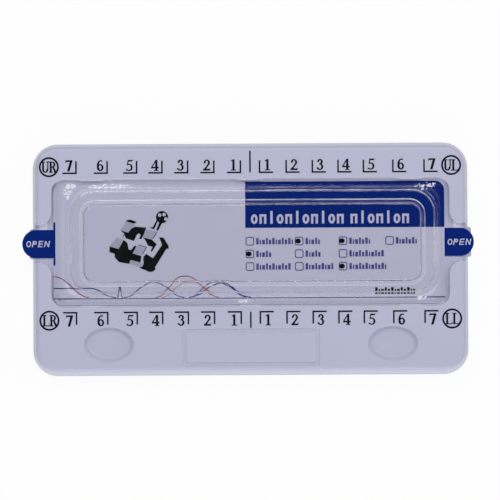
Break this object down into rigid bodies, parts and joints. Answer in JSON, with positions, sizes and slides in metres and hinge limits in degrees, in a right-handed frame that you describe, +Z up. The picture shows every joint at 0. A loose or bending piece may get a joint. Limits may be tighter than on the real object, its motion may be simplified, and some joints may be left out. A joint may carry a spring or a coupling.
{
  "type": "orthodontic bracket tray",
  "caption": "Shallow white plastic tray with a sunk well of twin brackets on adhesive strips, a printed card with two pull tabs over them and a clear stepped lid.",
  "frame": {"origin": "middle of the tray's footprint, on the base that it rests on", "axes": "+X along the tray towards the patient's left side, +Y from the front panel to the upper arch's row, +Z up out of the tray"},
  "size_m": [0.1443, 0.0744, 0.0112],
  "materials": {
    "tray_white": "white formed sheet with a faint lilac cast, satin",
    "adhesive_foam": "matt white foam tape",
    "bracket_steel": "polished cast stainless steel",
    "card_board": "smooth coated white card",
    "lid_clear": "clear vacuum-formed sheet, glossy",
    "chart_ink": "black pad-printed ink",
    "ink_blue": "navy blue offset ink",
    "ink_captions": "violet-blue offset ink",
    "ink_black": "black offset ink",
    "ink_grey": "grey offset ink",
    "ink_red": "red offset ink",
    "ink_orange": "orange offset ink"
  },
  "bodies": {
    "tray": {"tray": "tray_white", "tooth_chart_print": "chart_ink", "adhesive_strip_lower": "adhesive_foam", "adhesive_strip_upper": "adhesive_foam", "bracket_lower_left_1": "bracket_steel", "bracket_lower_left_2": "bracket_steel", "bracket_lower_left_3": "bracket_steel", "bracket_lower_left_4": "bracket_steel", "bracket_lower_left_5": "bracket_steel", "bracket_lower_right_1": "bracket_steel", "bracket_lower_right_2": "bracket_steel", "bracket_lower_right_3": "bracket_steel", "bracket_lower_right_4": "bracket_steel", "bracket_lower_right_5": "bracket_steel", "bracket_upper_left_1": "bracket_steel", "bracket_upper_left_2": "bracket_steel", "bracket_upper_left_3": "bracket_steel", "bracket_upper_left_4": "bracket_steel", "bracket_upper_left_5": "bracket_steel", "bracket_upper_right_1": "bracket_steel", "bracket_upper_right_2": "bracket_steel", "bracket_upper_right_3": "bracket_steel", "bracket_upper_right_4": "bracket_steel", "bracket_upper_right_5": "bracket_steel"},
    "card": {"card": "card_board", "card_print_black": "ink_black", "card_print_blue": "ink_blue", "card_print_captions": "ink_captions", "card_print_grey": "ink_grey", "card_print_orange": "ink_orange", "card_print_red": "ink_red"},
    "lid": {"lid": "lid_clear"}
  },
  "joints": [
    {"name": "card_lift", "type": "slide", "parent": "tray", "child": "card", "axis": [0, 0, 1], "range_m": [0, 0.025]},
    {"name": "lid_lift", "type": "slide", "parent": "card", "child": "lid", "axis": [0, 0, 1], "range_m": [0, 0.015]}
  ]
}
